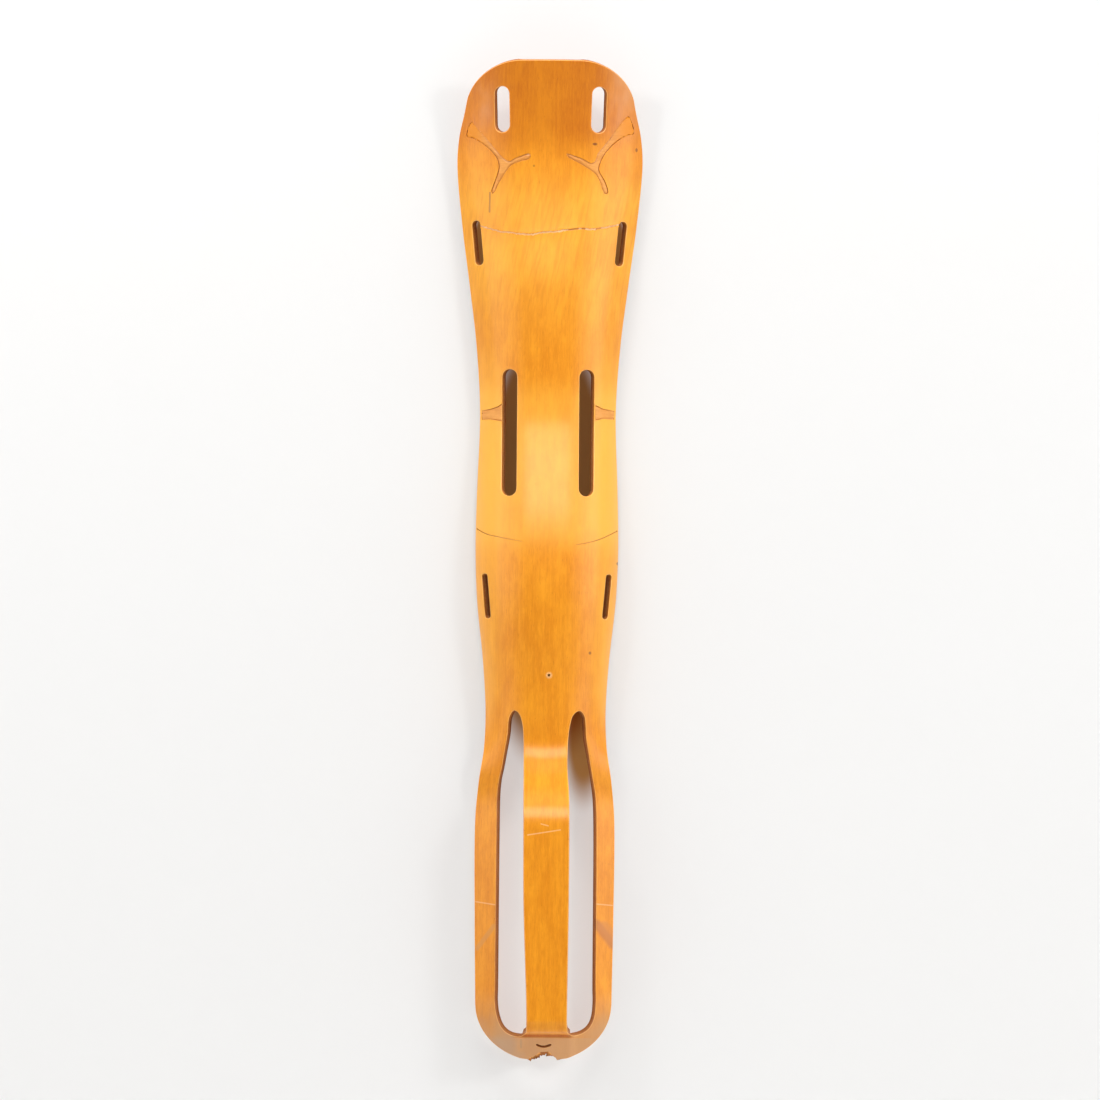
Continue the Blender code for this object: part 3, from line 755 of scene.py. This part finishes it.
def outer_marks(nodes, colour, grain, place):
    """How the outer face's wood varies, what years of use left on it, and painted highlights and shade."""
    axes = nodes.tree.nodes.new("ShaderNodeSeparateXYZ")
    nodes.set(axes.inputs[0], place)
    aside = nodes.math("ABSOLUTE", axes.outputs[0])
    height = nodes.math("MULTIPLY_ADD", axes.outputs[2], 1 / MM, -HEEL_Z)

    leaning = nodes.tree.nodes.new("ShaderNodeVectorRotate")
    leaning.rotation_type = "Z_AXIS"
    leaning.inputs["Angle"].default_value = math.radians(13)
    nodes.set(leaning.inputs["Vector"], grain)
    ripple = nodes.noise(leaning.outputs[0], (1 / 3.6, 1 / 46.0, 0.1), 2.0)
    figure = nodes.noise(grain, (1 / 55, 1 / 70, 0.1), 2.0)
    thigh = nodes.math("MULTIPLY", nodes.ramp(height, 750, 850), nodes.ramp(height, 965, 915))
    # Painted highlight on the up-turned thigh: it is painted paler and yellower, broken up by the figure.
    painted_thigh_highlight = nodes.math("MULTIPLY", thigh, nodes.ramp(figure, 0.3, 0.65, 0.45, 1.0))
    colour = nodes.tint(colour, (0.98, 0.5, 0.04, 1), nodes.math("MULTIPLY", painted_thigh_highlight, 0.42), "MIX")
    rippled = nodes.math("MULTIPLY_ADD", thigh, 0.32, 0.08)
    rippled = nodes.math("MULTIPLY", nodes.ramp(ripple, 0.46, 0.62), rippled)
    colour = nodes.tint(colour, (0.82, 0.7, 0.5, 1), rippled)
    # Painted shade on the top end, which turns down: it is painted darker, in patches that follow the
    # figure.
    upper = nodes.math("MULTIPLY", nodes.ramp(height, 955, 1003), nodes.ramp(figure, 0.35, 0.7, 0.75, 1.0))
    colour = nodes.tint(colour, (0.75, 0.59, 0.08, 1), upper)
    # Painted light: the flanks of the calf and knee, and the knee's up-turned slope, are painted lighter
    # and yellower.
    leg = nodes.math("MULTIPLY", nodes.ramp(height, 800, 720), nodes.ramp(height, 350, 400))
    painted_flank_light = nodes.math("MULTIPLY", nodes.ramp(aside, 0.04, 0.062), leg)
    painted_knee_highlight = nodes.math("MULTIPLY", nodes.ramp(height, 735, 705), nodes.ramp(height, 535, 570))
    painted_flank_and_knee_light = nodes.math("MULTIPLY_ADD", painted_flank_light, 0.42, nodes.math("MULTIPLY", painted_knee_highlight, 0.38))
    colour = nodes.tint(colour, (0.96, 0.47, 0.055, 1), painted_flank_and_knee_light, "MIX")
    patches = nodes.noise(place, (16, 16, 9), 3.0, 0.65)
    shoulders = nodes.math("MULTIPLY", nodes.ramp(aside, 0.045, 0.075), nodes.ramp(height, 975, 1020))
    reddened = nodes.math("MULTIPLY", shoulders, nodes.ramp(patches, 0.4, 0.65))
    colour = nodes.tint(colour, (0.66, 0.3, 0.12, 1), nodes.math("MULTIPLY", reddened, 0.6), "MIX")

    for x, z, wide, high, dark in KNOTS:
        knot = nodes.math("MULTIPLY", blot(nodes, place, x, z, wide, high), dark)
        colour = nodes.tint(colour, (0.22, 0.1, 0.06, 1), knot)
    ring = nodes.math("MULTIPLY", blot(nodes, place, *NAIL[:2], 3.2, 3.2), 0.5)
    colour = nodes.tint(colour, (1.0, 0.68, 0.34, 1), ring, "MIX")
    for start, end, width, shade, amount in SCUFFS:
        scuff = nodes.math("MULTIPLY", stroke(nodes, place, start, end, width), amount)
        colour = nodes.tint(colour, shade, scuff, "MIX")

    # The lip and the rails' lower ends are painted a dull tan, up to the strip's crease: painted shade
    # # with a pale painted sheen, where they turn down and away.
    lip = nodes.math("MULTIPLY", nodes.ramp(height, 29.5, 25.5), 0.8)
    rails = nodes.math("MULTIPLY", nodes.ramp(height, 85, 22), nodes.ramp(aside, 0.022, 0.034))
    rails = nodes.math("MULTIPLY", rails, nodes.ramp(patches, 0.3, 0.7, 0.45, 0.95))
    colour = nodes.tint(colour, (0.6, 0.34, 0.17, 1), nodes.math("MAXIMUM", lip, rails), "MIX")
    # Darker in patches towards the bottom.
    patchy_darkening = nodes.math("MULTIPLY", nodes.ramp(height, 34, 20), nodes.ramp(patches, 0.5, 0.6, 0.0, 0.35))
    colour = nodes.tint(colour, (0.52, 0.36, 0.26, 1), patchy_darkening, "MIX")
    # Painted shade in the crease where the strip's foot bends into the lip.
    crease = nodes.math("MULTIPLY", nodes.ramp(height, 26.5, 28.5), nodes.ramp(height, 34, 30))
    crease = nodes.math("MULTIPLY", crease, nodes.ramp(aside, 0.036, 0.026))
    return nodes.tint(colour, (0.6, 0.42, 0.22, 1), crease)


def crossband_marks(nodes, colour, grain, place):
    """Pale torn fibres along the tear, and the outer face's colour where the thigh darts fade out."""
    torn = nodes.ramp(field(nodes, "torn", 2), 0.15, 0.6)
    colour = nodes.tint(colour, (1.0, 0.82, 0.56, 1), torn, "MIX")
    axes = nodes.tree.nodes.new("ShaderNodeSeparateXYZ")
    nodes.set(axes.inputs[0], place)
    aside = nodes.math("ABSOLUTE", axes.outputs[0])
    outer_end = nodes.ramp(aside, THIGH_FLUSH[0] * MM, THIGH_FLUSH[1] * MM)
    outer_end = nodes.math("MULTIPLY", outer_end, nodes.ramp(axes.outputs[2], -0.13, -0.1))
    return nodes.tint(colour, (0.73, 0.24, 0.005, 1), nodes.math("MULTIPLY", outer_end, 0.92), "MIX")


# Knots in the outer face: centre, half width, half height and strength.
KNOTS = [(47.5, 979.2, 2.4, 1.3, 0.8), (92.2, 974.8, 1.3, 2.0, 0.7), (-17.2, 955.3, 1.2, 1.2, 0.5),
         (46.5, 437.9, 1.3, 1.6, 0.7), (75.5, 533.2, 1.0, 1.6, 0.8)]
# Scuffs on it: start, end, width, colour and strength.
SCUFFS = [((55.8, 149), (74, 126), 7.5, (0.52, 0.17, 0.035, 1), 0.85),
          ((64, 146), (74, 134), 9.0, (0.6, 0.22, 0.05, 1), 0.6),
          ((-53.3, 145.8), (-71.1, 121.2), 4.0, (0.66, 0.28, 0.06, 1), 0.65),
          ((-52, 168.5), (-73, 171), 1.0, (0.98, 0.66, 0.36, 1), 0.4),
          ((56, 170), (73, 168), 1.0, (0.98, 0.66, 0.36, 1), 0.4),
          ((-63.8, 927.2), (-64.1, 907), 1.5, (0.42, 0.16, 0.03, 1), 0.85),
          ((-23.6, 24.8), (-23.5, 16.3), 1.5, (0.25, 0.12, 0.05, 1), 0.9),
          ((-18.2, 246), (16.1, 251.6), 1.0, (1.0, 0.7, 0.4, 1), 0.4),
          ((-4.2, 257.8), (3.3, 255.8), 1.0, (1.0, 0.7, 0.4, 1), 0.4)]

LOOKS = {
    "outer_face_veneer": dict(pale=(0.87, 0.335, 0.012, 1), deep=(0.7, 0.22, 0.002, 1), marks=outer_marks),
    "outer_crossband_veneer": dict(pale=(0.82, 0.37, 0.085, 1), deep=(0.66, 0.25, 0.045, 1), along=(0, 1),
                                   rough=0.45, coat=0.3, marks=crossband_marks, seed=11.0),
    "core_veneer": dict(pale=(0.72, 0.42, 0.17, 1), deep=(0.5, 0.24, 0.08, 1),
                        rough=0.6, coat=0.0, seed=23.0),
    "inner_crossband_veneer": dict(pale=(0.6, 0.33, 0.13, 1), deep=(0.4, 0.18, 0.06, 1), along=(0, 1),
                                   rough=0.6, coat=0.0, seed=37.0),
    # The inner face is painted darker than the outer face: painted shade, which keeps the hollow behind the
    # splint dark.
    "inner_face_veneer": dict(pale=(0.62, 0.19, 0.02, 1), deep=(0.46, 0.12, 0.008, 1), coat=0.1, seed=53.0)}


# ---- the studio ------------------------------------------------------------------------------------
MIDDLE = Vector((0.0031, -0.055, (547.3 + HEEL_Z) * MM))   # point that the camera looks at
CAMERA_DISTANCE = 8.0
CAMERA_YAW = math.radians(0.3)
CAMERA_ROLL = math.radians(0.458)
FRAME_WIDTH = 1.1696                  # width of the view at the point looked at
SENSOR = 36.0
WARM = (1, 0.985, 0.965)              # colour of every lamp


def direction(azimuth, elevation):
    """Unit vector from the splint towards a light: azimuth 0 is towards the camera, + is to the right."""
    a, e = math.radians(azimuth), math.radians(elevation)
    return Vector((math.sin(a) * math.cos(e), -math.cos(a) * math.cos(e), math.sin(e)))


def softbox(name, azimuth, elevation, distance, wide, high, watts, colour=(1, 1, 1), aim=MIDDLE):
    data = bpy.data.lights.new(name, "AREA")
    data.shape = "RECTANGLE"
    data.size, data.size_y = wide, high
    data.energy = watts
    data.color = colour
    light = bpy.data.objects.new(name, data)
    towards = direction(azimuth, elevation)
    light.location = aim + towards * distance
    light.rotation_mode = "QUATERNION"
    light.rotation_quaternion = (-towards).to_track_quat("-Z", "Y")
    bpy.context.scene.collection.objects.link(light)
    return light


def panel(name, corners, look):
    mesh = bpy.data.meshes.new(name)
    mesh.from_pydata(corners, [], [(0, 1, 2, 3)])
    mesh.materials.append(look)
    piece = bpy.data.objects.new(name, mesh)
    bpy.context.scene.collection.objects.link(piece)


def plaster(name, colour, glow=0.0, dark_end_grain_and_painted_shade=()):
    """Pale wall paint, which shows only from its front, so that the splint can be seen from behind.

    The ellipses of painted shade lie close behind the varnished trough: there the paint is tinted orange
    brown and the wall's glow is dimmed, a painted shadow that carries the trough's colour as painted
    reflected light.
    """
    made = bpy.data.materials.new(name)
    made.use_nodes = True
    nodes = Tree(made.node_tree)
    shader = made.node_tree.nodes["Principled BSDF"]
    place = nodes.add("ShaderNodeTexCoord", out=3)
    mottle = nodes.noise(place, (2.2, 2.2, 2.2), 3.0)
    paint = nodes.tint(colour, (0.97, 0.968, 0.966, 1), mottle)
    own_light = (1, 0.992, 0.984, 1)
    # Painted shade behind the trough: inside each ellipse the paint turns orange brown and the glow dims.
    for ellipse in dark_end_grain_and_painted_shade:
        painted_shade_mask = blot(nodes, place, *ellipse)
        paint = nodes.tint(paint, (0.9, 0.49, 0.16, 1), painted_shade_mask)
        own_light = nodes.tint(own_light, (0.18, 0.09, 0.03, 1), painted_shade_mask)
    nodes.set(shader.inputs["Base Color"], paint)
    nodes.set(shader.inputs["Emission Color"], own_light)
    shader.inputs["Emission Strength"].default_value = glow
    shader.inputs["Roughness"].default_value = 0.9
    shader.inputs["Specular IOR Level"].default_value = 0.0
    behind = nodes.add("ShaderNodeNewGeometry", out=6)
    clear = nodes.add("ShaderNodeBsdfTransparent")
    shown = nodes.add("ShaderNodeMixShader", behind, shader.outputs[0], clear)
    nodes.set(made.node_tree.nodes["Material Output"].inputs[0], shown)
    return made


WALL_GLOW = 0.41                      # the wall's own light, which keeps the shadows on it pale
# Painted shade and shadow on the wall close behind the trough and at the top of the right heel window,
# tinted
# # with the trough's colour: centre, half width, half height and softness.
PAINTED_SHADE_BEHIND_TROUGH = [(0, 560, 72, 235, 0.12), (0, 868, 82, 100, 0.04), (41, 342, 19, 58, 0.4)]


def studio():
    """Wall, floor and lights.  The gleams show only as highlights in the varnish."""
    wall, low, reach, front = 0.002, MIDDLE.z - 1.35, 4.0, -6.0
    high = low + 5
    panel("wall", [(-reach, wall, low), (reach, wall, low), (reach, wall, high), (-reach, wall, high)],
          plaster("wall_paint", (0.46, 0.467, 0.473, 1), WALL_GLOW, PAINTED_SHADE_BEHIND_TROUGH))
    panel("floor", [(-reach, front, low), (reach, front, low), (reach, wall, low), (-reach, wall, low)],
          plaster("pale_floor", (0.85, 0.84, 0.82, 1)))
    thigh = MIDDLE + Vector((0, 0, 0.5))
    main = softbox("main", 42, 19.5, 5.0, 0.68, 0.5, 50, WARM)
    left = softbox("left", -38, 20, 1.8, 0.25, 0.2, 6.5, WARM, thigh)
    overhead = softbox("overhead", 0, 71, 3.2, 2.6, 1.2, 108, WARM)
    softbox("right_fill", 66, 12, 3.6, 3.2, 2.8, 64, WARM)
    softbox("left_fill", -66, 12, 3.6, 3.2, 2.8, 56, WARM)
    gleams = [softbox("front_gleam", 0, 31, 2.6, 3.8, 1.5, 150, WARM),
              softbox("right_gleam", 80, 8, 2.6, 2.0, 2.6, 34, WARM),
              softbox("left_gleam", -80, 8, 2.6, 2.0, 2.6, 22, WARM)]
    main.visible_glossy = left.visible_glossy = overhead.visible_glossy = False
    for gleam in gleams:
        gleam.visible_diffuse = False

    world = bpy.data.worlds.new("studio")
    bpy.context.scene.world = world
    world.use_nodes = True
    nodes = Tree(world.node_tree)
    seen = nodes.add("ShaderNodeLightPath", out=0)
    ambient = world.node_tree.nodes["Background"]
    ambient.inputs["Color"].default_value = (0.95, 0.94, 0.92, 1)
    nodes.set(ambient.inputs["Strength"], nodes.math("MULTIPLY_ADD", seen, 0.92, 0.03))
    bpy.context.scene.view_settings.view_transform = "Standard"


def camera():
    data = bpy.data.cameras.new("camera")
    data.sensor_width = SENSOR
    data.lens = SENSOR * CAMERA_DISTANCE / FRAME_WIDTH
    made = bpy.data.objects.new("camera", data)
    back = Vector((-math.sin(CAMERA_YAW), -math.cos(CAMERA_YAW), 0))
    made.location = MIDDLE + back * CAMERA_DISTANCE
    made.rotation_mode = "QUATERNION"
    made.rotation_quaternion = (-back).to_track_quat("-Z", "Y") @ Quaternion((0, 0, 1), CAMERA_ROLL)
    bpy.context.scene.collection.objects.link(made)
    bpy.context.scene.camera = made


camera()
studio()
PATTERN = Pattern()
for number, (node_name, finish) in enumerate(LOOKS.items()):
    veneer(node_name.replace("_veneer", ""), node_name, PATTERN, number, wood(node_name, **finish))
